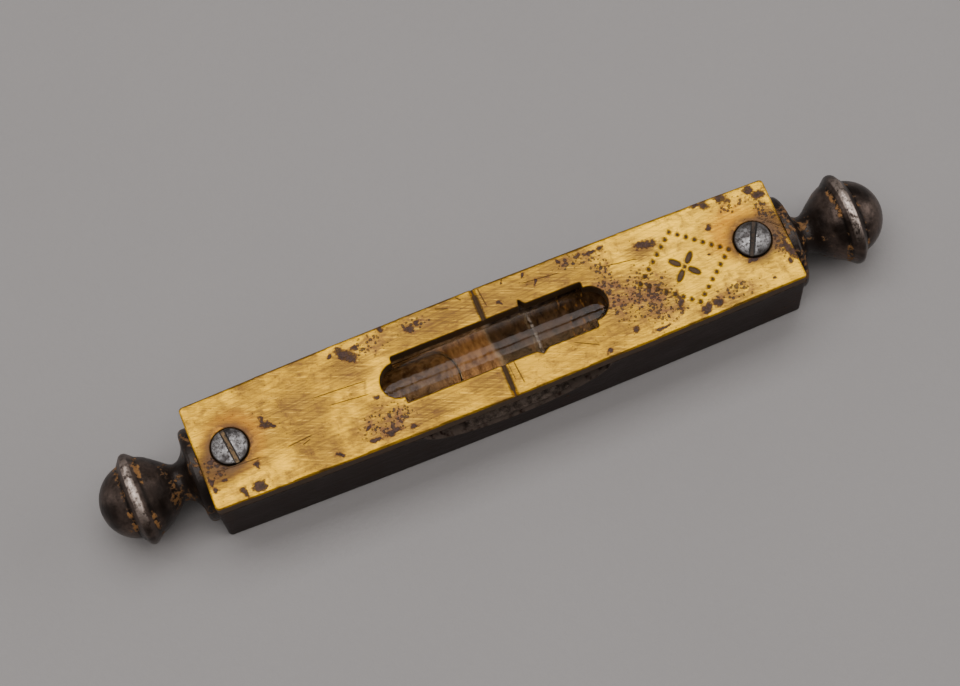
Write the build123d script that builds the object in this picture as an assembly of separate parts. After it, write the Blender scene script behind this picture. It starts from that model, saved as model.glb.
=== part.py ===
"""A pocket spirit level: an iron bar with a turned finial at each end, a brass top plate with
a sight window, and a sealed glass vial bedded in plaster under it. The bubble is a piece of its own.

Millimetres. X runs along the level, Y across it and Z up. The origin is under the middle of the
flat base, so the level stands on Z = 0.
"""

from build123d import *
import os

# Overall size and the bar
OVERALL_LENGTH = 88.9  # from tip to tip of the finials, 3 1/2 in
BAR_LENGTH = 66.0
BAR_END_WIDTH = 11.9
BAR_SWELL = 0.42  # how far each long side bows out at the middle
BAR_HEIGHT = 8.6
BAR_CORNER_RADIUS = 0.45
BASE_EDGE_RADIUS = 0.3

# The pocket for the vial, and the scoop in each side wall that lets light into it
POCKET_LENGTH = 42.0
POCKET_WIDTH = 8.8
POCKET_FLOOR = 1.3
SCOOP_HALF_LENGTH = 10.35
SCOOP_DEPTH = 4.7
SCOOP_CENTRE_X = 0.2

# Brass top plate
PLATE_THICKNESS = 1.8
PLATE_TOP = BAR_HEIGHT + PLATE_THICKNESS
PLATE_EDGE_RADIUS = 0.22
WINDOW_LENGTH = 21.5  # the straight part
WINDOW_WIDTH = 5.3
WINDOW_CENTRE_X = 0.1
WINDOW_END_RADIUS = 1.95
MARK_WIDTH = 0.7  # the filed centre mark across the plate
MARK_DEPTH = 0.32

# Slotted screws that hold the plate down
SCREW_SPACING = 58.7
SCREW_HEAD_RADIUS = 1.95
SCREW_SEAT_DEPTH = 0.5
SCREW_WALL_HEIGHT = 0.75
SCREW_SHANK_RADIUS = 1.05
SCREW_TIP_Z = 7.2
SLOT_WIDTH = 0.58
SLOT_DEPTH = 0.62
HOLE_CLEARANCE = 0.1

# Turned finials. S runs out from the bar's end face, R is the radius.
FINIAL_AXIS_Z = 5.25
STUD_RADIUS = 1.35
STUD_HOLE_RADIUS = 1.4
STUD_LENGTH = 7.0
STUD_HOLE_DEPTH = 7.6
FLANGE_RADIUS = 5.15
FLANGE_RIM = 0.65
NECK_S = 2.6
NECK_RADIUS = 2.1
CUP_END_S = 6.2
CUP_END_RADIUS = 4.33
BEAD_S = 7.27
BEAD_CREST = 5.06
BEAD_SHOULDER = (0.46, 4.85)  # from the bead's middle, and from the axis
DOME_RADIUS = 4.12
DOME_START_S = 8.32

# Glass vial, closed at both ends, with its bore ground to a very slight barrel
VIAL_AXIS_Z = 5.05
VIAL_RADIUS = 3.45
VIAL_LENGTH = 37.0
BORE_RADIUS = 2.7
BORE_LENGTH = 35.2
BORE_GRIND_RADIUS = 600.0
SEAL_NIB_RADIUS = 0.6
SEAL_NIB_LENGTH = 1.1

# Bubble, at rest against the left end of the window
BUBBLE_LENGTH = 11.4
BUBBLE_RADIUS = 2.4
BUBBLE_CENTRE_X = -9.6
BUBBLE_BELOW_AXIS = 0.45
BUBBLE_EDGE_RADIUS = 0.5
BUBBLE_GAP = 0.05

# Plaster bed
PLASTER_LEVEL = 4.8
PLASTER_END_LEVEL = 8.35
PLASTER_END_X = 15.6
PLASTER_SETBACK = 0.22  # how far the plaster stops short of the bar's side

# Stamped ornament on the plate: a lozenge of punched dots round a four-petal flower
ORNAMENT_X = 21.6
ORNAMENT_HALF_LENGTH = 5.0
ORNAMENT_HALF_WIDTH = 4.2
DOTS_PER_SIDE = 7
DOT_RADIUS = 0.3
DOT_DEPTH = 0.2
PETAL_LENGTH = 1.5
PETAL_WIDTH = 0.65
PETAL_OFFSET = 1.1

SIDES = {"left": -1, "right": 1}
SLOT_ANGLES = {"left": 96.7, "right": 63.0}  # degrees from +X
DOME_HEIGHTS = {"left": 0.42, "right": 0.6}


def upright(profile):
    """A profile drawn in X and Y, stood up so that it lies in X and Z."""
    return Rot(90, 0, 0) * profile


def bar_outline():
    """The plan of the bar and the plate: square ends and slightly swelled sides."""
    half_length, half_width = BAR_LENGTH / 2, BAR_END_WIDTH / 2
    mid = half_width + BAR_SWELL
    front = ThreePointArc((-half_length, -half_width), (0, -mid), (half_length, -half_width))
    back = ThreePointArc((half_length, half_width), (0, mid), (-half_length, half_width))
    ends = [Line(front @ 1, back @ 0), Line(back @ 1, front @ 0)]
    return make_face(Curve() + [front, back, *ends])


def bar_blank(height):
    """The plan, raised to a height, with its four upright corners rounded."""
    blank = extrude(bar_outline(), height)
    return fillet(blank.edges().filter_by(Axis.Z), BAR_CORNER_RADIUS)


def pocket(bottom, top):
    slot = SlotOverall(POCKET_LENGTH, POCKET_WIDTH)
    return Pos(0, 0, bottom) * extrude(slot, top - bottom)


def scoop(half_width):
    """The half-round scoop through both side walls, out to half_width on each side."""
    ellipse = Ellipse(SCOOP_HALF_LENGTH, SCOOP_DEPTH)
    place = Pos(SCOOP_CENTRE_X, 0, BAR_HEIGHT)
    return place * extrude(upright(ellipse), half_width, both=True)


def body():
    bar = bar_blank(BAR_HEIGHT)
    bar = fillet(bar.faces().sort_by(Axis.Z)[0].edges(), BASE_EDGE_RADIUS)
    bar -= pocket(POCKET_FLOOR, BAR_HEIGHT)
    bar -= scoop(BAR_END_WIDTH)
    screw_hole_depth = BAR_HEIGHT - SCREW_TIP_Z + 0.1
    for side in SIDES.values():
        x = side * SCREW_SPACING / 2
        bar -= Pos(x, 0, BAR_HEIGHT) * Cylinder(
            SCREW_SHANK_RADIUS + HOLE_CLEARANCE, 2 * screw_hole_depth
        )
        end = Pos(side * BAR_LENGTH / 2, 0, FINIAL_AXIS_Z)
        bar -= end * Rot(0, 90, 0) * Cylinder(STUD_HOLE_RADIUS, 2 * STUD_HOLE_DEPTH)
    return bar


def window():
    """The sight window: a slot with a smaller round lobe at each end, and two old nicks in its edges."""
    half = WINDOW_WIDTH / 2
    shape = Rectangle(WINDOW_LENGTH, WINDOW_WIDTH)
    for side in SIDES.values():
        shape += Pos(side * WINDOW_LENGTH / 2, 0) * Circle(WINDOW_END_RADIUS)
    front_nick = [
        ThreePointArc((3.3, -half + 0.2), (3.85, -half - 0.12), (4.3, -half - 0.5)),
        ThreePointArc((4.3, -half - 0.5), (4.75, -half - 0.2), (5.6, -half + 0.2)),
        Line((5.6, -half + 0.2), (3.3, -half + 0.2)),
    ]
    back_nick = Polyline(
        (3.8, half - 0.2), (3.9, half + 0.85), (4.35, half + 0.2), (4.75, half - 0.2), close=True
    )
    shape += make_face(Curve() + front_nick)
    shape += make_face(back_nick)
    return Pos(WINDOW_CENTRE_X, 0) * shape


def centre_mark():
    """A V-shaped cutter along Y that files the centre mark into the plate's top."""
    half = MARK_WIDTH / 2
    vee = make_face(Polyline((-half, 0), (half, 0), (0, -MARK_DEPTH), close=True))
    return Pos(0, 0, PLATE_TOP) * extrude(upright(vee), BAR_END_WIDTH, both=True)


def ornament():
    """The cutters for the stamped ornament."""
    corners = [
        Vector(ORNAMENT_HALF_LENGTH, 0),
        Vector(0, ORNAMENT_HALF_WIDTH),
        Vector(-ORNAMENT_HALF_LENGTH, 0),
        Vector(0, -ORNAMENT_HALF_WIDTH),
    ]
    dot = Pos(0, 0, -DOT_DEPTH / 2) * Cone(DOT_RADIUS * 0.35, DOT_RADIUS, DOT_DEPTH)
    cutters = []
    for start, finish in zip(corners, corners[1:] + corners[:1]):
        for step in range(DOTS_PER_SIDE):
            at = start + (finish - start) * (step / DOTS_PER_SIDE)
            cutters.append(Pos(at.X, at.Y, 0) * dot)
    petal = extrude(Ellipse(PETAL_LENGTH / 2, PETAL_WIDTH / 2), -DOT_DEPTH)
    for quarter in range(4):
        cutters.append(Rot(0, 0, 45 + 90 * quarter) * Pos(PETAL_OFFSET, 0, 0) * petal)
    cutters.append(dot)
    return [Pos(ORNAMENT_X, 0, PLATE_TOP) * cutter for cutter in cutters]


def top_plate():
    plate = Pos(0, 0, BAR_HEIGHT) * bar_blank(PLATE_THICKNESS)
    plate = fillet(plate.faces().sort_by(Axis.Z)[-1].edges(), PLATE_EDGE_RADIUS)
    plate -= Pos(0, 0, BAR_HEIGHT) * extrude(window(), PLATE_THICKNESS)
    plate -= centre_mark()
    for side in SIDES.values():
        place = Pos(side * SCREW_SPACING / 2, 0, PLATE_TOP)
        plate -= place * Cylinder(SCREW_HEAD_RADIUS + HOLE_CLEARANCE, 2 * SCREW_SEAT_DEPTH)
        plate -= place * Cylinder(SCREW_SHANK_RADIUS + HOLE_CLEARANCE, 3 * PLATE_THICKNESS)
    for cutter in ornament():
        plate -= cutter
    return plate


def plate_screw(name):
    """A slotted screw with a low domed head that sits in a shallow seat in the plate."""
    seat = PLATE_TOP - SCREW_SEAT_DEPTH
    wall_top = seat + SCREW_WALL_HEIGHT
    dome_height = DOME_HEIGHTS[name]
    rim, crown = (SCREW_HEAD_RADIUS, wall_top), (0, wall_top + dome_height)
    dome_radius = (SCREW_HEAD_RADIUS**2 + dome_height**2) / (2 * dome_height)
    outline = Curve() + [
        Polyline(
            crown,
            (0, SCREW_TIP_Z),
            (SCREW_SHANK_RADIUS - 0.3, SCREW_TIP_Z),
            (SCREW_SHANK_RADIUS, SCREW_TIP_Z + 0.3),
            (SCREW_SHANK_RADIUS, seat),
            (SCREW_HEAD_RADIUS, seat),
            rim,
        ),
        RadiusArc(rim, crown, -dome_radius),
    ]
    screw = revolve(upright(make_face(outline)), Axis.Z)
    slot = Box(3 * SCREW_HEAD_RADIUS, SLOT_WIDTH, 2 * SLOT_DEPTH)
    screw -= Pos(0, 0, crown[1]) * Rot(0, 0, SLOT_ANGLES[name]) * slot
    return Pos(SIDES[name] * SCREW_SPACING / 2, 0, 0) * screw


def finial(name):
    """A turned finial: stud, flange, thin neck, flaring cup, bead and round cap."""
    crest_in, crest_out = [(BEAD_S + side * BEAD_SHOULDER[0], BEAD_SHOULDER[1]) for side in (-1, 1)]
    dome_tip = (OVERALL_LENGTH - BAR_LENGTH) / 2
    dome_centre = dome_tip - DOME_RADIUS
    dome_start = (DOME_START_S, (DOME_RADIUS**2 - (DOME_START_S - dome_centre) ** 2) ** 0.5)
    half_turn = 0.5**0.5 * DOME_RADIUS
    shoulder = (1.1, 4.4)
    outline = Curve() + [
        Polyline(
            (dome_tip, 0),
            (-STUD_LENGTH, 0),
            (-STUD_LENGTH, STUD_RADIUS - 0.4),
            (-STUD_LENGTH + 0.4, STUD_RADIUS),
            (0, STUD_RADIUS),
            (0, FLANGE_RADIUS),
            (FLANGE_RIM, FLANGE_RADIUS),
        ),
        ThreePointArc((FLANGE_RIM, FLANGE_RADIUS), (0.98, 4.95), shoulder),
        Spline(
            shoulder,
            (1.4, 3.15),
            (NECK_S, NECK_RADIUS),
            (3.9, 2.87),
            (5.1, 3.78),
            (CUP_END_S, CUP_END_RADIUS),
            tangents=((0.2, -1), (1, 0.4)),
        ),
        Line((CUP_END_S, CUP_END_RADIUS), crest_in),
        ThreePointArc(crest_in, (BEAD_S, BEAD_CREST), crest_out),
        Line(crest_out, dome_start),
        ThreePointArc(dome_start, (dome_centre + half_turn, half_turn), (dome_tip, 0)),
    ]
    turned = revolve(make_face(outline), Axis.X)
    if SIDES[name] < 0:
        turned = Rot(0, 0, 180) * turned
    return Pos(SIDES[name] * BAR_LENGTH / 2, 0, FINIAL_AXIS_Z) * turned


def round_ended_rod(length, radius):
    """A rod along X with hemispherical ends."""
    straight = length / 2 - radius
    rod = Rot(0, 90, 0) * Cylinder(radius, 2 * straight)
    return rod + [Pos(side * straight, 0, 0) * Sphere(radius) for side in SIDES.values()]


def vial_outside():
    nib = Rot(0, 90, 0) * Cylinder(SEAL_NIB_RADIUS, 2 * SEAL_NIB_LENGTH)
    vial = round_ended_rod(VIAL_LENGTH, VIAL_RADIUS) + Pos(VIAL_LENGTH / 2, 0, 0) * nib
    return Pos(0, 0, VIAL_AXIS_Z) * vial


def bore():
    """The inside of the vial: a barrel ground to a very large radius, with round ends."""
    straight = BORE_LENGTH / 2 - BORE_RADIUS
    end_radius = BORE_RADIUS - straight**2 / (2 * BORE_GRIND_RADIUS)
    half = 0.5**0.5 * end_radius
    tip = straight + end_radius
    outline = Curve() + [
        ThreePointArc((-straight, end_radius), (0, BORE_RADIUS), (straight, end_radius)),
        ThreePointArc((straight, end_radius), (straight + half, half), (tip, 0)),
        Line((tip, 0), (-tip, 0)),
        ThreePointArc((-tip, 0), (-straight - half, half), (-straight, end_radius)),
    ]
    return Pos(0, 0, VIAL_AXIS_Z) * revolve(make_face(outline), Axis.X)


def bubble(gap=0.0):
    """The air bubble, or with a gap the slightly larger hollow that it leaves in the spirit."""
    rod = round_ended_rod(BUBBLE_LENGTH + 2 * gap, BUBBLE_RADIUS + gap)
    rod = split(rod, Plane.XY.offset(-BUBBLE_BELOW_AXIS - gap), keep=Keep.TOP)
    rod = fillet(rod.faces().sort_by(Axis.Z)[0].edges(), BUBBLE_EDGE_RADIUS)
    return Pos(BUBBLE_CENTRE_X, 0, VIAL_AXIS_Z) * rod


def plaster_bed():
    """Plaster poured round the vial: level with its middle, and over its top at both ends."""
    side_reach = BAR_END_WIDTH / 2 + BAR_SWELL - PLASTER_SETBACK
    above = Pos(0, 0, PLASTER_LEVEL + BAR_HEIGHT) * Box(BAR_LENGTH, 2 * BAR_END_WIDTH, 2 * BAR_HEIGHT)
    bed = pocket(POCKET_FLOOR, PLASTER_LEVEL) + (scoop(side_reach) - above)
    ends = pocket(PLASTER_LEVEL, PLASTER_END_LEVEL)
    ends -= Pos(0, 0, PLASTER_LEVEL) * Box(2 * PLASTER_END_X, BAR_END_WIDTH, 2 * BAR_HEIGHT)
    return bed + ends - vial_outside()


def main():
    nodes = {
        "body": body(),
        "top_plate": top_plate(),
        "plaster_bed": plaster_bed(),
        "vial_glass": vial_outside() - bore(),
        "vial_spirit": bore() - bubble(BUBBLE_GAP),
        "bubble": bubble(),
    }
    for name in SIDES:
        nodes[f"plate_screw_{name}"] = plate_screw(name)
        nodes[f"finial_{name}"] = finial(name)
    os.makedirs("parts", exist_ok=True)
    for name, shape in nodes.items():
        export_step(shape, f"parts/{name}.step")


main()
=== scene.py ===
import math

import bmesh
import bpy
from mathutils import Matrix, Vector, noise


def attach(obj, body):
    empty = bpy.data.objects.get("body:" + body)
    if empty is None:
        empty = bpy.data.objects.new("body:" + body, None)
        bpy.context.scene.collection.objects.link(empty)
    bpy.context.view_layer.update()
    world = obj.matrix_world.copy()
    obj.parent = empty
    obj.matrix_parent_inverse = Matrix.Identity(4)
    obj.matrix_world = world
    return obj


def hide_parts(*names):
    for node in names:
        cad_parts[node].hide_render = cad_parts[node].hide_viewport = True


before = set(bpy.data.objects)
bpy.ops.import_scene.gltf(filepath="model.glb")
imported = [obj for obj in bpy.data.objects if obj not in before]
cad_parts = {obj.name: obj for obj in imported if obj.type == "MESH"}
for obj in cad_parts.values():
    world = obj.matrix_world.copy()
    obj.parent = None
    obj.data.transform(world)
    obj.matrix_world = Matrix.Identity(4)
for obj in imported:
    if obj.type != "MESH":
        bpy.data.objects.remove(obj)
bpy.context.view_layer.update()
MM = 0.001

# The bar: one iron casting, milled flat on its sole and sides, with a pocket for the vial and a
# half-oval scoop in each long side. It is japanned brown-black, and the japan has worn thin along
# the arrises and gone dull with handling.
BAR_TOP = 8.6
SCOOP_X = 0.2
SCOOP_HALF_LENGTH = 10.35
SCOOP_DEPTH = 4.7


class Wire:
    """A value on its way through a finish. Arithmetic on wires and numbers adds the Math nodes."""

    def __init__(self, finish, socket):
        self.finish = finish
        self.socket = socket

    def __add__(self, other):
        return self.finish.math("ADD", self, other)

    def __radd__(self, other):
        return self.finish.math("ADD", other, self)

    def __sub__(self, other):
        return self.finish.math("SUBTRACT", self, other)

    def __rsub__(self, other):
        return self.finish.math("SUBTRACT", other, self)

    def __mul__(self, other):
        return self.finish.math("MULTIPLY", self, other)

    def __truediv__(self, other):
        return self.finish.math("DIVIDE", self, other)

    def __abs__(self):
        return self.finish.math("ABSOLUTE", self)


class Finish:
    """The finish of one piece: its material, shader and nodes. Patterns are laid out in millimetres."""

    def __init__(self, name, **constants):
        self.material = bpy.data.materials.new(name)
        self.material.use_nodes = True
        self.tree = self.material.node_tree
        self.shader = self.tree.nodes["Principled BSDF"]
        for socket, value in constants.items():
            self.shader.inputs[socket.replace("_", " ")].default_value = value
        metres = self.node("ShaderNodeTexCoord", output="Object")
        self.place = self.node("ShaderNodeVectorMath", {"operation": "SCALE"}, {0: metres, "Scale": 1000.0})
        self.x = self.node("ShaderNodeSeparateXYZ", {}, {0: self.place}, "X")
        self.y = self.node("ShaderNodeSeparateXYZ", {}, {0: self.place}, "Y")
        self.z = self.node("ShaderNodeSeparateXYZ", {}, {0: self.place}, "Z")

    def node(self, kind, settings={}, inputs={}, output=0):
        """One node: its settings are set first, then its sockets get numbers, colours or wires."""
        node = self.tree.nodes.new(kind)
        for name, value in settings.items():
            setattr(node, name, value)
        for name, value in inputs.items():
            if isinstance(value, Wire):
                self.tree.links.new(value.socket, node.inputs[name])
            else:
                node.inputs[name].default_value = value
        return Wire(self, node.outputs[output])

    def math(self, operation, *values):
        return self.node("ShaderNodeMath", {"operation": operation}, dict(enumerate(values)))

    def distance(self, along, across):
        """How far away a place is, from how far it is along each of two axes."""
        return self.math("SQRT", along * along + across * across)

    def fade(self, value, start, end):
        """0 where the value is at start, 1 where it has reached end, and a soft step between."""
        return self.node(
            "ShaderNodeMapRange",
            {"interpolation_type": "SMOOTHSTEP"},
            {"Value": value, "From Min": start, "From Max": end},
        )

    def grain(self, per_mm, detail=4.0, rough=0.55, stretch=(1, 1, 1), turn=0.0, seed=0.0, warp=0.0):
        """Cloudy noise from 0 to 1, with so many clouds to the millimetre before it is stretched."""
        laid = self.node(
            "ShaderNodeMapping",
            {"vector_type": "TEXTURE"},
            {
                "Vector": self.place,
                "Location": (seed, 1.7 * seed, -0.6 * seed),
                "Rotation": (0, 0, math.radians(turn)),
                "Scale": stretch,
            },
        )
        return self.node(
            "ShaderNodeTexNoise",
            {},
            {"Vector": laid, "Scale": per_mm, "Detail": detail, "Roughness": rough, "Distortion": warp},
        )

    def blend(self, mask, under, over):
        """One colour laid over another where the mask is 1."""
        sockets = {0: mask, 6: under, 7: over}
        for socket in (6, 7):
            if not isinstance(sockets[socket], Wire):
                sockets[socket] = (*sockets[socket], 1.0)
        return self.node("ShaderNodeMix", {"data_type": "RGBA"}, sockets, 2)

    def relief(self, *layers):
        """Raises the surface by each (height, depth in millimetres) layer, one bump over the last."""
        normal = {}
        for height, depth in layers:
            normal = {
                "Normal": self.node(
                    "ShaderNodeBump", {}, {"Height": height, "Distance": depth * MM, **normal}
                )
            }
        self.feed(**normal)

    def feed(self, **wires):
        for socket, wire in wires.items():
            self.tree.links.new(wire.socket, self.shader.inputs[socket.replace("_", " ")])

    def put_on(self, piece):
        piece.material_slots[0].material = self.material


japan = Finish("japanned iron", Specular_IOR_Level=0.15, Specular_Tint=(1.0, 0.68, 0.58, 1.0))
japan_cloud = japan.grain(0.22, detail=6, seed=3)
japan_speck = japan.grain(2.2, detail=5, rough=0.65, seed=9)
japan_brush = japan.grain(0.9, detail=3, stretch=(6, 1, 1), seed=5)
thin_japan = japan.fade(japan_cloud, 0.52, 0.72)
bar_arris = japan.fade(abs(japan.z - BAR_TOP / 2), 4.0, 4.3) * japan.fade(japan_speck, 0.42, 0.6)
rust_fleck = japan.fade(japan_speck, 0.64, 0.7) * japan.fade(japan_cloud, 0.42, 0.6)
japan_colour = japan.blend(thin_japan * 0.7, (0.013, 0.0054, 0.0038), (0.028, 0.0125, 0.009))
japan_colour = japan.blend(bar_arris * 0.5, japan_colour, (0.085, 0.06, 0.042))
japan_colour = japan.blend(rust_fleck * 0.7, japan_colour, (0.16, 0.072, 0.024))
# the scoop's flanks are bare of japan, greyed with plaster dust and lightened further as a painted sheen
scoop_along = (japan.x - SCOOP_X) / SCOOP_HALF_LENGTH
scoop_down = (japan.z - BAR_TOP) / SCOOP_DEPTH
in_scoop = japan.fade(scoop_along * scoop_along + scoop_down * scoop_down, 1.07, 1.01)
scoop_dust_and_sheen = in_scoop * japan.fade(japan.grain(1.2, detail=5, seed=14), 0.3, 0.55)
japan_colour = japan.blend(scoop_dust_and_sheen * 0.7, japan_colour, (0.13, 0.1, 0.082))
japan.feed(
    Base_Color=japan_colour,
    Roughness=0.34 + japan_cloud * 0.22 + rust_fleck * 0.25 + scoop_dust_and_sheen * 0.2,
)
japan.relief((japan_brush, 0.03), (japan_speck, 0.035), (rust_fleck, 0.03))
japan.put_on(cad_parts["body"])

# The end finials: turned from iron bar with a flange, a thin neck, a flaring cup, a bead and a round
# cap, and screwed into the bar's ends by a stud. They are browned, rust sits in the grooves, and the
# bead is worn bright by the pocket. The bright crest is also a painted highlight, kept to the top and
# bottom of the bead, and a dark line of painted shade lies in the crease at each foot of the bead.
FINIAL_AXIS_Z = 5.25
BAR_END_X = 33.0
NECK_X = BAR_END_X + 3.4
CUP_X = BAR_END_X + 5.2
BEAD_X = BAR_END_X + 7.27
BEAD_SHOULDER_RADIUS = 4.74
BEAD_CREST_RADIUS = 4.96
GROOVE_FROM_BEAD = 1.02


def browned_finial(name, seed, shine):
    iron = Finish(f"{name} iron")
    along = abs(iron.x)
    height = iron.z - FINIAL_AXIS_Z
    radius = iron.distance(iron.y, height)
    cloud = iron.grain(0.35, detail=6, seed=seed)
    speck = iron.grain(1.8, detail=6, rough=0.65, seed=seed + 4)
    turning = iron.grain(3.0, detail=2, stretch=(1, 9, 9), seed=seed + 8)
    from_bead = abs(along - BEAD_X)
    crest_wear_and_highlight = iron.fade(radius, BEAD_SHOULDER_RADIUS, BEAD_CREST_RADIUS) * iron.fade(from_bead, 0.64, 0.42)
    # painted highlight: the bright crest fades out towards the sides of the bead
    crest_wear_and_highlight = crest_wear_and_highlight * iron.fade(abs(iron.y), 4.3, 2.2)
    # painted shade: a dark line in the crease at each foot of the bead
    groove_shade = iron.fade(abs(from_bead - GROOVE_FROM_BEAD), 0.3, 0.06)
    beside = iron.fade(abs(from_bead - 1.15), 0.55, 0.1)
    neck = iron.fade(along, CUP_X, NECK_X)
    patchy = cloud + speck * 0.6
    rust = iron.fade(patchy + beside * 0.24, 1.02, 1.12) * iron.fade(speck, 0.42, 0.52)
    neck_rust = iron.fade(patchy + neck * 0.18, 0.98, 1.08) * iron.fade(speck, 0.48, 0.56) * 0.8
    rust = iron.math("MAXIMUM", rust, neck_rust)
    brown = iron.blend(iron.fade(cloud, 0.35, 0.65), (0.022, 0.0135, 0.01), (0.12, 0.084, 0.068))
    brown = iron.blend(neck * 0.85, brown, (0.014, 0.008, 0.0055))
    brown = iron.blend(iron.fade(speck, 0.55, 0.3) * 0.6, brown, (0.018, 0.012, 0.009))
    brown = iron.blend(groove_shade * 0.85, brown, (0.012, 0.008, 0.006))
    brown = iron.blend(rust, brown, iron.blend(turning, (0.12, 0.05, 0.014), (0.34, 0.155, 0.036)))
    # the crest's colour: worn metal and painted highlight
    worn_and_highlight = crest_wear_and_highlight * iron.fade(speck, 0.36, 0.56)
    iron.feed(
        Base_Color=iron.blend(worn_and_highlight * 0.85, brown, (0.62, 0.5, 0.43)),
        Metallic=(0.8 + worn_and_highlight * 0.2) * (1 - rust) * (1 - neck * 0.4),
        Roughness=0.27 - shine + speck * 0.16 + rust * 0.4 + cloud * 0.08,
    )
    iron.relief((turning, 0.012), (speck, 0.05), (rust, 0.04))
    iron.put_on(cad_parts[name])


browned_finial("finial_left", seed=21, shine=0.0)
browned_finial("finial_right", seed=37, shine=0.04)

# The plaster bed: poured round the vial in the bar's pocket and scraped level in the scoops. It has
# crumbled to a lumpy, dirty surface, stained brown left of the middle; right of it, it is coloured nearly
# black.
PLASTER_LUMP = 0.12
STAIN_END_X = 0.8
BLACK_START_X = 2.8


def alone(piece):
    """Leaves only this piece selected and active."""
    bpy.ops.object.select_all(action="DESELECT")
    piece.select_set(True)
    bpy.context.view_layer.objects.active = piece


def modify(piece, kind, **settings):
    """Adds a modifier with its settings and applies it."""
    alone(piece)
    modifier = piece.modifiers.new(kind.title(), kind)
    for name, value in settings.items():
        setattr(modifier, name, value)
    bpy.ops.object.modifier_apply(modifier=modifier.name)


def merged_copy(node, name):
    """A copy of a CAD node's mesh with its loose triangles joined up."""
    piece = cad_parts[node].copy()
    piece.data = piece.data.copy()
    piece.name = name
    piece.parent = None
    bpy.context.scene.collection.objects.link(piece)
    alone(piece)
    bpy.ops.object.mode_set(mode="EDIT")
    bpy.ops.mesh.select_all(action="SELECT")
    bpy.ops.mesh.remove_doubles(threshold=1e-6)
    bpy.ops.object.mode_set(mode="OBJECT")
    return piece


def pitted(piece, across, depth, detail=2):
    """Sinks shallow clouds of pits into a piece, never raising it."""
    clouds = bpy.data.textures.new(f"{piece.name} pits", "CLOUDS")
    clouds.noise_scale = across * MM
    clouds.noise_depth = detail
    modify(piece, "DISPLACE", texture=clouds, texture_coords="LOCAL", mid_level=1.0, strength=depth * MM)


plaster = merged_copy("plaster_bed", "plaster_poured_bed")
modify(plaster, "REMESH", mode="VOXEL", voxel_size=0.2 * MM)
pitted(plaster, across=0.7, depth=2 * PLASTER_LUMP)
modify(plaster, "SMOOTH", factor=0.4, iterations=1)
bpy.ops.object.shade_smooth()
chalk = Finish("plaster", Specular_IOR_Level=0.25)
chalk_lump = chalk.fade(chalk.grain(1.5, detail=7, rough=0.66, seed=2), 0.3, 0.7)
chalk_cloud = chalk.grain(0.3, detail=4, seed=8)
stain_x = chalk.x + chalk_cloud * 1.6
stained_end = chalk.fade(stain_x, STAIN_END_X + 0.7, STAIN_END_X)
black_end = chalk.fade(stain_x + chalk.fade(chalk.y, -0.6, 1.6) * 1.7, BLACK_START_X, BLACK_START_X + 0.6)
in_pocket = chalk.fade(abs(chalk.y), 4.4, 4.0)
chalk_colour = chalk.blend(chalk_lump, (0.03, 0.019, 0.014), (0.2, 0.15, 0.12))
chalk_pale = chalk.blend(chalk_lump, (0.13, 0.085, 0.06), (0.5, 0.4, 0.32))
chalk_brown = chalk.blend(chalk_lump, (0.15, 0.065, 0.024), (0.62, 0.36, 0.18))
chalk_black = chalk.blend(chalk_lump, (0.018, 0.01, 0.006), (0.16, 0.095, 0.06))
gold_speck = chalk.fade(chalk.grain(2.6, detail=3, seed=21), 0.58, 0.66) * chalk.fade(chalk.x, 7.5, 9.0)
chalk_black = chalk.blend(gold_speck, chalk_black, (0.5, 0.24, 0.06))
chalk_inner = chalk.blend(stained_end, chalk_pale, chalk_brown)
chalk_inner = chalk.blend(black_end, chalk_inner, chalk_black)
chalk_colour = chalk.blend(in_pocket, chalk_colour, chalk_inner)
chalk.feed(Base_Color=chalk_colour, Roughness=0.85 + chalk_lump * 0.1)
chalk.relief((chalk_lump, 0.12))
chalk.put_on(plaster)
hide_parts("plaster_bed")
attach(plaster, "level")

# The vial: a glass tube drawn down and sealed at both ends, with its bore ground to a very slight
# barrel so that the bubble comes to the middle. It lies in the plaster under the window. An old ring
# of white paint is left on it to the right of the middle.
VIAL_AXIS_Z = 5.05
VIAL_RADIUS = 3.45
VIAL_LENGTH = 37.0
BORE_RADIUS = 2.7
BORE_LENGTH = 35.2
BORE_GRIND_RADIUS = 600.0
SEAL_NIB_LENGTH = 0.9
PAINT_RING_X = 4.62


def select_verts(piece, wanted):
    """Selects, in edit mode, the vertices whose place in millimetres passes a test."""
    mesh = bmesh.from_edit_mesh(piece.data)
    mesh.select_mode = {"VERT"}
    for vert in mesh.verts:
        vert.select_set(wanted(*(vert.co / MM)))
    mesh.select_flush_mode()
    bmesh.update_edit_mesh(piece.data)


def settle(piece):
    """Puts the object's own origin at the frame's, with its place in its mesh."""
    alone(piece)
    bpy.ops.object.transform_apply(location=True, rotation=True, scale=True)
    bpy.ops.object.shade_smooth()


def round_ended_rod(name, length, radius, centre_x=0.0, around=64):
    """A ball pulled apart along X into a rod with round ends."""
    bpy.ops.object.select_all(action="DESELECT")
    bpy.ops.mesh.primitive_uv_sphere_add(
        segments=around,
        ring_count=around // 2,
        radius=radius * MM,
        location=(centre_x * MM, 0, VIAL_AXIS_Z * MM),
        rotation=(0, math.pi / 2, 0),
    )
    rod = bpy.context.active_object
    rod.name = name
    settle(rod)
    bpy.ops.object.mode_set(mode="EDIT")
    for side in (-1, 1):
        select_verts(rod, lambda x, y, z: side * (x - centre_x) > 0.01)
        bpy.ops.transform.translate(value=(side * (length / 2 - radius) * MM, 0, 0))
    bpy.ops.object.mode_set(mode="OBJECT")
    return rod


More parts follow.
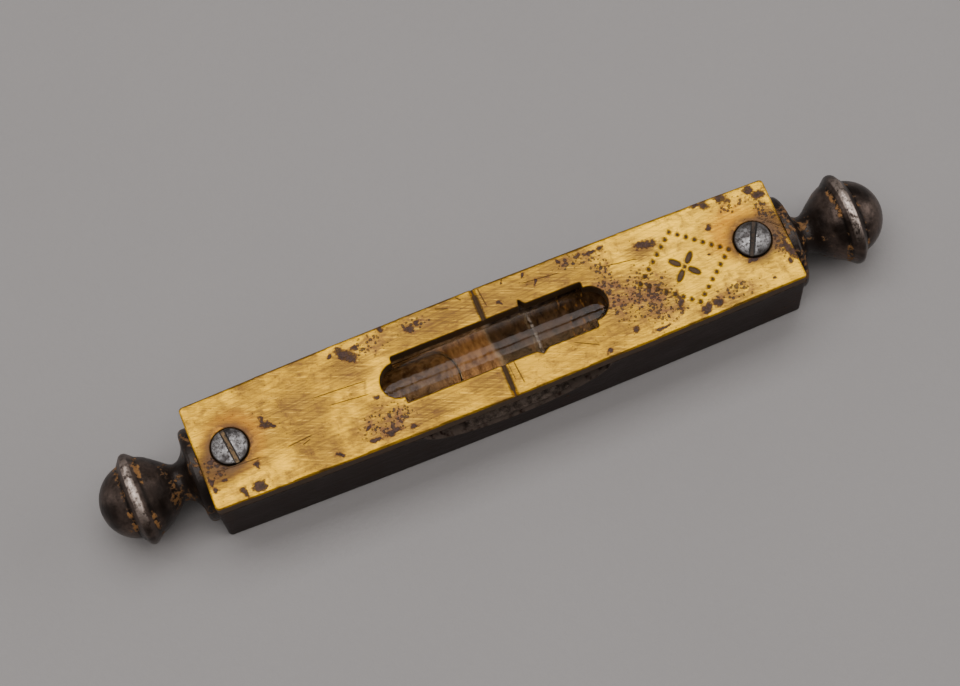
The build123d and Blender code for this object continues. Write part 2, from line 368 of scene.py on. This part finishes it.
def ground_bore(name, shrink=0.0):
    """The bore's wall: a rod cut across at many stations, each ring scaled to the barrel's radius."""
    bore = round_ended_rod(name, BORE_LENGTH - 2 * shrink, BORE_RADIUS - shrink)
    straight = BORE_LENGTH / 2 - BORE_RADIUS
    alone(bore)
    bpy.ops.object.mode_set(mode="EDIT")
    stations = [straight * step / 6 for step in range(-6, 7)]
    for station in stations[1:-1]:
        bpy.ops.mesh.select_all(action="SELECT")
        bpy.ops.mesh.bisect(plane_co=(station * MM, 0, 0), plane_no=(1, 0, 0))
    for station in stations:
        at_end = abs(station) == straight
        if at_end:
            select_verts(bore, lambda x, y, z: abs(x) > straight - 0.01 and x * station > 0)
        else:
            select_verts(bore, lambda x, y, z: abs(x - station) < 0.01)
        ring = 1 - station**2 / (2 * BORE_GRIND_RADIUS) / BORE_RADIUS
        bpy.ops.transform.resize(
            value=(ring, ring, ring) if at_end else (1, ring, ring),
            center_override=(station * MM, 0, VIAL_AXIS_Z * MM),
        )
    bpy.ops.object.mode_set(mode="OBJECT")
    return bore


def lamplit(finish, tint):
    """Lets lamplight through to what lies under the glass, which a lamp's ray alone can't bend into."""
    lamp_ray = finish.node("ShaderNodeLightPath", output="Is Shadow Ray")
    clear = finish.node("ShaderNodeBsdfTransparent", {}, {"Color": (*tint, 1.0)})
    output = finish.tree.nodes["Material Output"]
    through = output.inputs["Surface"].links[0].from_socket
    mixed = finish.node("ShaderNodeMixShader", {}, {0: lamp_ray, 1: Wire(finish, through), 2: clear})
    finish.tree.links.new(mixed.socket, output.inputs["Surface"])


vial = round_ended_rod("vial_tube", VIAL_LENGTH, VIAL_RADIUS)
alone(vial)
bpy.ops.object.mode_set(mode="EDIT")
select_verts(vial, lambda x, y, z: x > VIAL_LENGTH / 2 - 0.08)
bpy.ops.mesh.extrude_region_move(TRANSFORM_OT_translate={"value": (SEAL_NIB_LENGTH * MM, 0, 0)})
bpy.ops.transform.resize(
    value=(0.4, 0.45, 0.45), center_override=((VIAL_LENGTH / 2 + SEAL_NIB_LENGTH) * MM, 0, VIAL_AXIS_Z * MM)
)
bpy.ops.object.mode_set(mode="OBJECT")
bore_wall = ground_bore("bore_wall")
alone(bore_wall)
bpy.ops.object.mode_set(mode="EDIT")
bpy.ops.mesh.select_all(action="SELECT")
bpy.ops.mesh.flip_normals()
bpy.ops.object.mode_set(mode="OBJECT")

outer_glass = Finish(
    "glass outside",
    Transmission_Weight=1.0,
    IOR=1.5,
    Base_Color=(0.985, 0.965, 0.93, 1.0),
    Specular_Tint=(0.42, 0.4, 0.4, 1.0),
)
glass_dust = outer_glass.grain(2.4, detail=6, rough=0.7, seed=6)
outer_glass.feed(Roughness=outer_glass.fade(glass_dust, 0.5, 0.8) * 0.03)
outer_glass.relief((outer_glass.grain(0.5, detail=2, stretch=(5, 1, 1), seed=3), 0.006))
ring_edge = outer_glass.grain(1.6, detail=4, seed=12)
from_ring = abs(outer_glass.x - PAINT_RING_X + ring_edge * 0.5 - 0.25)
paint_ring = outer_glass.fade(from_ring, 0.2, 0.06) * outer_glass.fade(ring_edge, 0.34, 0.56) * 0.42
dust_film = outer_glass.fade(glass_dust, 0.55, 0.75) * 0.07
film = outer_glass.node("ShaderNodeBsdfDiffuse", {}, {"Color": (0.46, 0.37, 0.29, 1.0)})
glass_and_film = outer_glass.node(
    "ShaderNodeMixShader",
    {},
    {
        0: outer_glass.math("MAXIMUM", paint_ring, dust_film),
        1: Wire(outer_glass, outer_glass.shader.outputs[0]),
        2: film,
    },
)
outer_glass.tree.links.new(
    glass_and_film.socket, outer_glass.tree.nodes["Material Output"].inputs["Surface"]
)
lamplit(outer_glass, (0.93, 0.95, 0.92))
inner_glass = Finish("glass against spirit", Transmission_Weight=1.0, IOR=1.5 / 1.36, Roughness=0.0)
inner_glass.relief((inner_glass.grain(0.8, detail=2, stretch=(8, 1, 1), seed=5), 0.004))
lamplit(inner_glass, (0.97, 0.97, 0.96))
vial.data.materials.append(outer_glass.material)
bore_wall.data.materials.append(inner_glass.material)
bpy.ops.object.select_all(action="DESELECT")
bore_wall.select_set(True)
vial.select_set(True)
bpy.context.view_layer.objects.active = vial
bpy.ops.object.join()
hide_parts("vial_glass")
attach(vial, "level")

# The spirit: a faintly yellowed liquid that fills the bore round the bubble. The bore's wall already
# bends the light between glass and spirit, so this only tints what is seen through it.
spirit = ground_bore("spirit_filling", shrink=0.03)
amber = Finish("spirit")
spirit_depth = amber.grain(0.2, detail=3, seed=4)
amber_deep = amber.node("ShaderNodeBsdfTransparent", {}, {"Color": (0.95, 0.87, 0.74, 1.0)})
amber_thin = amber.node("ShaderNodeBsdfTransparent", {}, {"Color": (0.98, 0.93, 0.84, 1.0)})
amber_clear = amber.node("ShaderNodeMixShader", {}, {0: spirit_depth, 1: amber_deep, 2: amber_thin})
amber.tree.links.new(amber_clear.socket, amber.tree.nodes["Material Output"].inputs["Surface"])
spirit.data.materials.append(amber.material)
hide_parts("vial_spirit")
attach(spirit, "level")

# The bubble: air against the top of the bore, with a nearly flat underside and round ends. Its wall
# bends light the other way from glass, out of the spirit and into air.
BUBBLE_LENGTH = 11.4
BUBBLE_RADIUS = 2.4
BUBBLE_CENTRE_X = -9.6
BUBBLE_FLOOR = VIAL_AXIS_Z - 0.45

bubble = round_ended_rod("air_bubble", BUBBLE_LENGTH, BUBBLE_RADIUS, BUBBLE_CENTRE_X, around=48)
alone(bubble)
bpy.ops.object.mode_set(mode="EDIT")
select_verts(bubble, lambda x, y, z: z < BUBBLE_FLOOR)
bpy.ops.transform.resize(value=(1, 1, 0.06), center_override=(0, 0, BUBBLE_FLOOR * MM))
bpy.ops.mesh.select_all(action="SELECT")
for station in range(-14, -4, 2):
    bpy.ops.mesh.bisect(plane_co=(station * MM, 0, 0), plane_no=(1, 0, 0))
    bpy.ops.mesh.select_all(action="SELECT")
bpy.ops.object.mode_set(mode="OBJECT")
modify(bubble, "SMOOTH", factor=0.5, iterations=3)
air = Finish("air in spirit")
ripple = air.node("ShaderNodeBump", {}, {"Height": air.grain(0.6, detail=2, seed=7), "Distance": 0.01 * MM})
air_wall = air.node("ShaderNodeBsdfGlass", {}, {"Roughness": 0.0, "IOR": 0.88, "Normal": ripple})
air.tree.links.new(air_wall.socket, air.tree.nodes["Material Output"].inputs["Surface"])
lamplit(air, (0.99, 0.99, 0.99))
bubble.data.materials.append(air.material)
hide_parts("bubble")
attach(bubble, "bubble")

# The top plate: sheet brass, sawn and filed to the bar's plan, pierced with the sight window and
# filed across at the middle. It was lacquered once. Now it is rubbed, scratched both ways, freckled
# with brown corrosion, and dark round the screws. Every face below the top, in every recess, is dark: grime
# in the engravings and painted shade on the window's walls.
PLATE_TOP = 10.4
SCREW_X = 29.35
# blots of corrosion: place, half length and half width, and the turn of each
BLOTS = [
    (-14.9, 4.7, 0.85, 0.5, -35), (-15.3, 5.35, 0.32, 0.3, 0), (-14.3, 4.1, 0.6, 0.45, -20),
    (-13.7, 5.15, 0.28, 0.22, 0), (-16.4, 5.15, 0.22, 0.18, 0), (-25.3, 0.75, 0.5, 0.42, 0),
    (-25.4, 1.4, 0.16, 0.4, 0), (-24.7, 0.5, 0.4, 0.18, -15), (-29.5, -5.1, 0.3, 0.5, 0),
    (-27.9, -5.25, 0.5, 0.45, -30), (-32.25, -3.8, 0.3, 0.26, 30), (-32.4, -2.9, 0.2, 0.35, 0),
    (-31.0, -3.3, 0.3, 0.18, 0), (-27.4, -2.95, 0.3, 0.22, 20), (-15.3, -3.7, 0.24, 0.22, 0),
    (-19.0, -5.25, 0.45, 0.16, -10), (-15.1, -5.2, 0.5, 0.28, -25), (-13.1, -5.1, 0.7, 0.2, 0),
    (-10.4, 5.95, 0.3, 0.35, 0), (-7.6, 4.8, 0.42, 0.32, 15), (-6.5, 5.2, 0.36, 0.24, 20),
    (-13.5, -0.8, 0.24, 0.2, 0), (-10.8, -5.4, 0.45, 0.22, -20), (3.2, 5.75, 0.14, 0.12, 0),
    (5.5, 5.7, 0.2, 0.14, 20), (2.2, 3.85, 0.22, 0.16, 0), (6.4, 4.3, 0.13, 0.36, -22),
    (9.6, 5.75, 0.22, 0.18, 0), (11.8, 5.6, 0.3, 0.26, 0), (10.8, -5.55, 0.2, 0.16, 0),
    (13.1, 5.35, 0.36, 0.18, 0), (14.0, 5.2, 0.38, 0.28, -30), (14.3, -4.3, 0.26, 0.3, 0),
    (18.7, 3.85, 0.8, 0.34, -12), (19.7, -3.1, 0.22, 0.9, -8), (26.2, 5.6, 0.42, 0.45, 20),
    (25.3, 5.95, 0.4, 0.2, -15), (28.2, 5.55, 0.6, 0.4, -25), (31.1, 5.2, 0.45, 0.26, 0),
    (32.05, 4.45, 0.6, 0.4, -25), (31.4, 6.1, 0.3, 0.25, 0), (32.55, -2.6, 0.35, 0.9, 12),
    (32.1, -1.9, 0.4, 0.3, 0), (16.9, -5.45, 0.75, 0.2, 0), (21.9, -5.2, 0.45, 0.42, 0),
    (23.1, -5.1, 0.55, 0.38, -20), (25.6, 2.95, 0.25, 0.28, 0), (28.6, -2.15, 0.55, 0.22, 10),
    (31.9, -3.7, 0.24, 0.24, 0), (24.7, 0.35, 0.14, 0.12, 0), (29.8, -4.9, 0.16, 0.14, 0),
]
# wide patches of fine freckles: place, half length and half width, turn
FRECKLED = [
    (-13.2, -3.6, 3.6, 1.9, 0), (-12.6, 4.8, 2.8, 1.3, -10), (16.6, -1.2, 3.6, 3.4, 25),
    (13.4, 1.2, 1.6, 5.0, 0), (31.6, 2.6, 1.2, 1.9, 15), (18.4, -4.0, 2.4, 1.6, 0),
    (31.8, -1.2, 1.0, 2.4, 10), (11.5, 5.2, 2.6, 1.0, 0), (-31.5, -1.5, 1.4, 1.8, 0),
    (25.5, -4.6, 3.4, 1.2, 0), (-7.0, 5.0, 2.0, 1.0, 0), (28.8, 4.4, 2.2, 0.9, 0),
]
# broad patches where the lacquer has gone brown: place, half length and half width, turn
DULLED = [
    (-1.0, 4.4, 13.0, 1.7, 0), (-10.5, -4.4, 6.0, 1.7, 0), (-28.0, 0.8, 4.6, 3.6, 10),
    (-21.8, 1.6, 3.2, 1.3, 0), (-15.0, 3.2, 2.6, 2.0, -20), (13.2, -0.6, 2.4, 4.6, 0),
    (17.4, -1.8, 2.8, 3.2, 30), (31.8, 0.6, 1.7, 3.6, 10), (-31.7, -1.4, 1.8, 2.4, 0),
    (-28.6, -2.7, 3.6, 0.8, 0), (18.2, 3.4, 2.0, 1.2, -15), (-2.0, -3.6, 3.4, 1.1, 0),
    (9.0, 4.6, 4.0, 1.6, 0),
]
# scribed lines: from, to, half width
SCRIBED = [
    (1.12, -2.45, 1.36, -5.5, 0.05), (0.62, 6.3, 0.86, 3.9, 0.05), (0.5, -2.5, 0.62, -4.8, 0.03),
    (30.7, 2.2, 32.9, 0.1, 0.07), (-31.6, -2.05, -26.5, -2.3, 0.05), (-23.9, -2.35, -20.9, -2.1, 0.05),
    (-22.3, -2.75, -21.3, -2.45, 0.04), (7.6, -3.2, 10.2, -4.6, 0.035), (-4.4, 5.8, -2.9, 5.2, 0.05),
    (-1.9, 6.2, -1.4, 5.6, 0.06), (3.4, 6.2, 3.1, 5.6, 0.04), (13.0, 3.4, 17.5, 2.7, 0.035),
    (5.0, 4.9, 9.5, 4.4, 0.03), (-20.0, 1.6, -13.5, 1.2, 0.03), (-18.5, 0.2, -13.8, -0.3, 0.03),
]
# stains round each screw: its side, then the middles of its orange glow and of its grime, from its own
SCREW_STAINS = [(-1, (0.6, 0.4), (-1.7, -1.4)), (1, (-1.2, 1.4), (1.9, 0.5))]


def within(patches, x, y, core, edge):
    """1 inside any of the oval patches, fading to 0 past their edges, which noise makes ragged."""
    astray = noise.noise_vector((x * 1.3, y * 1.3, 4.0)) * 0.35
    astray = astray + noise.noise_vector((x * 4, y * 4, 9.0)) * 0.12
    x, y = x + astray.x, y + astray.y
    closest = edge
    for patch_x, patch_y, long, wide, turn in patches:
        reach = edge * max(long, wide)
        if abs(x - patch_x) < reach and abs(y - patch_y) < reach:
            cosine, sine = math.cos(math.radians(turn)), math.sin(math.radians(turn))
            along = ((x - patch_x) * cosine + (y - patch_y) * sine) / long
            across = ((y - patch_y) * cosine - (x - patch_x) * sine) / wide
            closest = min(closest, math.hypot(along, across))
    share = min(1.0, (edge - closest) / (edge - core))
    return share * share * (3 - 2 * share)


noise.seed_set(5)
plate = merged_copy("top_plate", "pierced_brass_plate")
modify(plate, "REMESH", mode="VOXEL", voxel_size=0.11 * MM)
modify(plate, "SMOOTH", factor=0.3, iterations=1)
alone(plate)
bpy.ops.object.mode_set(mode="EDIT")
select_verts(plate, lambda x, y, z: z < BAR_TOP + 0.03)
bpy.ops.mesh.delete(type="FACE")
bpy.ops.mesh.select_all(action="DESELECT")
bpy.ops.mesh.select_non_manifold()
bpy.ops.mesh.fill()
bpy.ops.object.mode_set(mode="OBJECT")
bpy.ops.object.shade_smooth()
for layer, patches, core, edge in (
    ("blots", BLOTS, 0.4, 2.1),
    ("freckled", FRECKLED, 0.4, 1.2),
    ("dulled", DULLED, 0.3, 1.4),
):
    stain = plate.data.attributes.new(layer, "FLOAT", "POINT")
    for vert in plate.data.vertices:
        if vert.co.z > (PLATE_TOP - 0.5) * MM:
            stain.data[vert.index].value = within(patches, vert.co.x / MM, vert.co.y / MM, core, edge)

brass = Finish("plate brass")
fine = brass.grain(3.2, detail=6, rough=0.62, seed=2)


def scribed(lines):
    """1 on thin straight scratches, each given by its ends and half its width."""
    marks = 0.0
    for x0, y0, x1, y1, half_width in lines:
        length = math.hypot(x1 - x0, y1 - y0)
        along_x, along_y = (x1 - x0) / length, (y1 - y0) / length
        middle_x, middle_y = (x0 + x1) / 2, (y0 + y1) / 2
        along = (brass.x - middle_x) * along_x + (brass.y - middle_y) * along_y
        across = (brass.y - middle_y) * along_x - (brass.x - middle_x) * along_y
        mark = brass.fade(abs(across), 1.6 * half_width, 0.5 * half_width)
        mark = mark * brass.fade(abs(along), length / 2, length * 0.36)
        marks = brass.math("MAXIMUM", mark, marks)
    return marks


rubbed = brass.grain(1.0, detail=5, rough=0.65, stretch=(4, 0.22, 1), turn=3, seed=4)
rubbed_askew = brass.grain(1.0, detail=5, rough=0.65, stretch=(3, 0.2, 1), turn=-24, seed=11)
tarnish_cloud = brass.grain(0.16, detail=6, rough=0.6, seed=6)
tarnish_wisp = brass.grain(0.7, detail=7, rough=0.65, seed=8, warp=0.4)
at_edge = brass.math("MAXIMUM", brass.fade(abs(brass.y), 5.5, 5.7), brass.fade(abs(brass.x), 32.4, 32.6))
on_top = brass.fade(brass.z + at_edge * 0.12, PLATE_TOP - 0.16, PLATE_TOP - 0.03)
freckled = brass.node("ShaderNodeAttribute", {"attribute_name": "freckled"}, output="Fac")
dulled = brass.node("ShaderNodeAttribute", {"attribute_name": "dulled"}, output="Fac")
spot_cell = brass.node("ShaderNodeTexVoronoi", {}, {"Vector": brass.place, "Scale": 3.0})
spot_at = brass.node("ShaderNodeTexVoronoi", {}, {"Vector": brass.place, "Scale": 3.0}, "Position")
spot_size = brass.node("ShaderNodeTexWhiteNoise", {}, {"Vector": spot_at})
spot_reach = spot_size * (0.12 + freckled * 0.62)
freckles = brass.fade(spot_cell + (fine - 0.5) * 1.1 - spot_reach, 0.08, -0.14)
blots = brass.node("ShaderNodeAttribute", {"attribute_name": "blots"}, output="Fac")
ragged = blots + (tarnish_wisp - 0.5) * 1.3 + (fine - 0.5) * 1.8
blot_edge = brass.fade(ragged, 0.0, 0.6) * brass.fade(blots, 0.02, 0.2)
blots = brass.fade(ragged, 0.36, 0.98)
scratches = scribed(SCRIBED)
dirt = brass.math("MAXIMUM", blots, freckles * (0.45 + freckled * 0.35))
halos = 0.0
glows = 0.0
grimes = 0.0
for side, (glow_x, glow_y), (grime_x, grime_y) in SCREW_STAINS:
    from_x = brass.x - side * SCREW_X
    from_screw = brass.distance(from_x, brass.y)
    halos = brass.math("MAXIMUM", brass.fade(from_screw + tarnish_wisp * 1.4 - 0.7, 3.5, 2.1), halos)
    from_glow = brass.distance(from_x - glow_x, brass.y - glow_y)
    glows = brass.math("MAXIMUM", brass.fade(from_glow, 4.2, 1.6), glows)
    from_grime = brass.distance((from_x - grime_x) * 0.9, brass.y - grime_y)
    grimes = brass.math("MAXIMUM", brass.fade(from_grime + tarnish_wisp * 3 - 1.5, 3.1, 1.1), grimes)

brown_haze = brass.math("MAXIMUM", dulled * 0.8, brass.fade(tarnish_cloud, 0.48, 0.66) * 0.6)
stroke = brass.fade(rubbed, 0.45, 0.6)
stroke_askew = brass.fade(rubbed_askew, 0.47, 0.62)
right_end = brass.fade(brass.x, 8.0, 22.0)
grit = brass.blend(brass.fade(fine, 0.35, 0.65), (0.008, 0.0035, 0.003), (0.075, 0.03, 0.022))
recess_grime_and_shade = brass.blend(fine, (0.02, 0.011, 0.006), (0.13, 0.065, 0.02))
# from the clean metal up: where each stain lies and its colour, the last being grime and painted shade
# below the top face
gold = brass.blend(right_end, (0.97, 0.52, 0.012), (1.0, 0.56, 0.018))
for where, colour in (
    (brass.fade(tarnish_cloud, 0.36, 0.58) * (1 - right_end * 0.6), (0.5, 0.265, 0.014)),
    (brown_haze, (0.2, 0.105, 0.026)),
    (brass.fade(abs(brass.x), 15.0, 8.0) * 0.45, (0.26, 0.14, 0.02)),
    (brass.fade(rubbed_askew, 0.46, 0.34) * 0.45, (0.94, 0.53, 0.05)),
    (stroke * (0.28 + brown_haze * 0.5), (0.13, 0.064, 0.022)),
    (stroke_askew * (0.22 + brown_haze * 0.5), (0.11, 0.054, 0.02)),
    (brass.fade(tarnish_wisp, 0.48, 0.68) * 0.6, (0.13, 0.06, 0.026)),
    (freckled * brass.fade(tarnish_wisp, 0.36, 0.62) * 0.65, (0.16, 0.074, 0.04)),
    (glows * 0.5, (0.55, 0.2, 0.002)),
    (halos * brass.fade(tarnish_wisp, 0.3, 0.52) * 0.9, (0.08, 0.036, 0.014)),
    (grimes * 0.85, (0.09, 0.044, 0.018)),
    (scratches * 0.8, (0.08, 0.04, 0.016)),
    (blot_edge * 0.7, (0.14, 0.062, 0.026)),
    (dirt * 0.94, grit),
    # grime and painted shade on every face below the top, the window's walls among them
    (1 - on_top, recess_grime_and_shade),
):
    gold = brass.blend(where, gold, colour)
brass.feed(
    Base_Color=gold,
    Metallic=(0.35 + on_top * 0.6) * (1 - dirt * 0.7) * (1 - halos * 0.35),
    Roughness=0.27 + rubbed * 0.1 + tarnish_wisp * 0.12 + dirt * 0.25 + (1 - on_top) * 0.2,
)
brass.relief((rubbed, 0.03), (rubbed_askew, 0.025), (1 - scratches, 0.03), (1 - dirt, 0.04))
plate.data.materials.clear()
plate.data.materials.append(brass.material)
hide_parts("top_plate")
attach(plate, "level")

# The plate screws: two slotted steel screws with low domed heads, let into shallow seats in the plate.
# The heads are greyed and pitted, and their slots are burred by the driver and packed with dirt. Each
# head's rim is painted dark as shade.
SCREW_SEAT_Z = 9.9
SCREW_HEAD_RADIUS = 1.95
SCREW_WALL_TOP = 10.65
SCREW_TIP_Z = 7.2
SHANK_RADIUS = 1.05
SHANK_CHAMFER = 0.3
SLOT_WIDTH = 0.58
SLOT_DEPTH = 0.62
DOME_RINGS = 10


def slotted_screw(name, node, side, slot_turn, dome, slot_dirt, seed):
    centre = Vector((side * SCREW_X * MM, 0, 0))
    bpy.ops.object.select_all(action="DESELECT")
    bpy.ops.mesh.primitive_cylinder_add(
        vertices=96,
        radius=SCREW_HEAD_RADIUS * MM,
        depth=(SCREW_WALL_TOP - SCREW_SEAT_Z) * MM,
        location=centre + Vector((0, 0, (SCREW_WALL_TOP + SCREW_SEAT_Z) / 2 * MM)),
    )
    screw = bpy.context.active_object
    screw.name = name
    settle(screw)
    bpy.ops.object.mode_set(mode="EDIT")
    select_verts(screw, lambda x, y, z: z > SCREW_WALL_TOP - 0.01)
    radii = [SCREW_HEAD_RADIUS * (1 - step / DOME_RINGS) for step in range(DOME_RINGS)]
    heights = [dome * (1 - (radius / SCREW_HEAD_RADIUS) ** 2) for radius in radii]
    for step in range(1, DOME_RINGS):
        bpy.ops.mesh.extrude_region_move(
            TRANSFORM_OT_translate={"value": (0, 0, (heights[step] - heights[step - 1]) * MM)}
        )
        shrink = radii[step] / radii[step - 1]
        bpy.ops.transform.resize(value=(shrink, shrink, 1), center_override=centre)
    select_verts(screw, lambda x, y, z: z < SCREW_SEAT_Z + 0.01)
    shank = SHANK_RADIUS / SCREW_HEAD_RADIUS
    bpy.ops.mesh.extrude_region_move(TRANSFORM_OT_translate={"value": (0, 0, 0)})
    bpy.ops.transform.resize(value=(shank, shank, 1), center_override=centre)
    bpy.ops.mesh.extrude_region_move(
        TRANSFORM_OT_translate={"value": (0, 0, (SCREW_TIP_Z + SHANK_CHAMFER - SCREW_SEAT_Z) * MM)}
    )
    bpy.ops.mesh.extrude_region_move(TRANSFORM_OT_translate={"value": (0, 0, -SHANK_CHAMFER * MM)})
    bpy.ops.transform.resize(value=(0.72, 0.72, 1), center_override=centre)
    bpy.ops.object.mode_set(mode="OBJECT")

    bpy.ops.object.select_all(action="DESELECT")
    bpy.ops.mesh.primitive_cube_add(size=1, rotation=(0, 0, math.radians(slot_turn)))
    cutter = bpy.context.active_object
    cutter.scale = (6 * MM, SLOT_WIDTH * MM, 2 * SLOT_DEPTH * MM)
    cutter.location = centre + Vector((0, 0, (SCREW_WALL_TOP + dome) * MM))
    modify(screw, "BOOLEAN", object=cutter, operation="DIFFERENCE", solver="EXACT")
    bpy.data.objects.remove(cutter)
    modify(screw, "REMESH", mode="VOXEL", voxel_size=0.045 * MM)
    modify(screw, "SMOOTH", factor=0.5, iterations=2)
    pitted(screw, across=0.35, depth=0.05)
    bpy.ops.object.shade_smooth()

    steel = Finish(f"{name} steel")
    from_x = steel.x - side * SCREW_X
    turn = math.radians(slot_turn)
    slot_line = abs(from_x * math.sin(turn) - steel.y * math.cos(turn))
    from_middle = steel.distance(from_x, steel.y)
    cloud = steel.grain(0.8, detail=6, rough=0.6, seed=seed)
    pit = steel.grain(3.5, detail=5, rough=0.65, seed=seed + 5)
    slot_floor = SCREW_WALL_TOP + dome - SLOT_DEPTH
    in_slot = steel.fade(slot_line, SLOT_WIDTH / 2 + 0.02, SLOT_WIDTH / 2 - 0.06)
    in_slot = in_slot * steel.fade(steel.z, slot_floor + 0.4, slot_floor + 0.15)
    # painted shade: a dark band round the rim of the head
    rim_shade = steel.fade(from_middle + cloud * 0.3, 1.85, 2.1)
    pits_and_rim_shade = steel.math("MAXIMUM", rim_shade, steel.fade(pit, 0.5, 0.62) * 0.85)
    grey = steel.blend(steel.fade(cloud, 0.38, 0.62), (0.07, 0.062, 0.06), (0.36, 0.34, 0.335))
    grey = steel.blend(pits_and_rim_shade, grey, (0.035, 0.026, 0.021))
    slot_side = steel.fade(slot_line, SLOT_WIDTH / 2 - 0.16, SLOT_WIDTH / 2 - 0.04)
    packed = steel.blend(steel.fade(pit, 0.35, 0.6), (0.02, 0.012, 0.008), slot_dirt)
    grey = steel.blend(in_slot, grey, steel.blend(slot_side, packed, (0.008, 0.006, 0.005)))
    steel.feed(
        Base_Color=grey,
        Metallic=(1 - in_slot * 0.9) * (1 - pits_and_rim_shade * 0.5),
        Roughness=0.3 + pit * 0.22 + in_slot * 0.3 + pits_and_rim_shade * 0.15,
    )
    steel.relief((pit, 0.03), (cloud, 0.03))
    screw.data.materials.clear()
    screw.data.materials.append(steel.material)
    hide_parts(node)
    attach(screw, "level")


slotted_screw("left_slotted_screw", "plate_screw_left", -1, 96.7, 0.42, (0.24, 0.15, 0.07), seed=5)
slotted_screw("right_slotted_screw", "plate_screw_right", 1, 63.0, 0.6, (0.07, 0.045, 0.028), seed=17)

# The stage: a plain pale floor and soft lamps. Two long lamps hang side by side over the level, one
# stands low past each end, and the room fills in the rest. The floor is a hair above the sole, so
# the two don't share one plane and the sole shows from below.
FLOOR_COLOUR = (0.3, 0.277, 0.27)
FLOOR_LEVEL = 0.01
ROOM_COLOUR = (1.0, 0.985, 0.97, 1.0)
ROOM_STRENGTH = 0.19
CAMERA_PLACE = (-0.021653, -0.080334, 0.256709)
CAMERA_SWING = -14.122
CAMERA_DIP = 71.315  # below level
CAMERA_ROLL = -8.201

bpy.ops.object.select_all(action="DESELECT")
bpy.ops.mesh.primitive_plane_add(size=6.0, location=(0, 0, FLOOR_LEVEL * MM))
floor = bpy.context.active_object
floor.name = "floor"
table_top = Finish("floor")
floor_grain = table_top.grain(1.4, detail=5, rough=0.6, seed=3)
floor_cloud = table_top.grain(0.02, detail=3, seed=6)
table_top.feed(
    Base_Color=table_top.blend(floor_cloud, FLOOR_COLOUR, tuple(0.9 * value for value in FLOOR_COLOUR)),
    Roughness=0.5 + floor_grain * 0.1,
)
table_top.relief((floor_grain, 0.05))
floor.data.materials.append(table_top.material)


def lamp(name, size_x, size_y, location, watts, target=(0, 0, 0)):
    light = bpy.data.lights.new(name, "AREA")
    light.shape = "RECTANGLE"
    light.size = size_x
    light.size_y = size_y
    light.energy = watts
    holder = bpy.data.objects.new(name, light)
    bpy.context.scene.collection.objects.link(holder)
    holder.location = location
    holder.rotation_mode = "QUATERNION"
    holder.rotation_quaternion = (Vector(location) - Vector(target)).to_track_quat("Z", "Y")


lamp("near overhead lamp", 1.3, 0.4, (0.0, -0.16, 1.0), 5.0, target=(0, -0.16, 0))
lamp("far overhead lamp", 1.3, 0.52, (0.0, 0.43, 1.0), 7.2, target=(0, 0.43, 0))
lamp("left side lamp", 0.5, 0.4, (-1.1, 0.4, 0.32), 1.6)
lamp("right side lamp", 0.9, 0.6, (1.0, -0.12, 0.42), 3.6)

room = bpy.data.worlds.new("room")
bpy.context.scene.world = room
room.use_nodes = True
backdrop = room.node_tree.nodes["Background"]
backdrop.inputs["Color"].default_value = ROOM_COLOUR
backdrop.inputs["Strength"].default_value = ROOM_STRENGTH

lens = bpy.data.cameras.new("camera")
lens.lens = 93.75
lens.sensor_width = 36.0
lens.clip_start = 0.01
camera = bpy.data.objects.new("camera", lens)
bpy.context.scene.collection.objects.link(camera)
camera.rotation_mode = "QUATERNION"
camera.location = CAMERA_PLACE
swing = Matrix.Rotation(math.radians(CAMERA_SWING), 3, "Z")
tilt = Matrix.Rotation(math.radians(90 - CAMERA_DIP), 3, "X")
roll = Matrix.Rotation(math.radians(CAMERA_ROLL), 3, "Z")
camera.rotation_quaternion = (swing @ tilt @ roll).to_quaternion()
bpy.context.scene.camera = camera
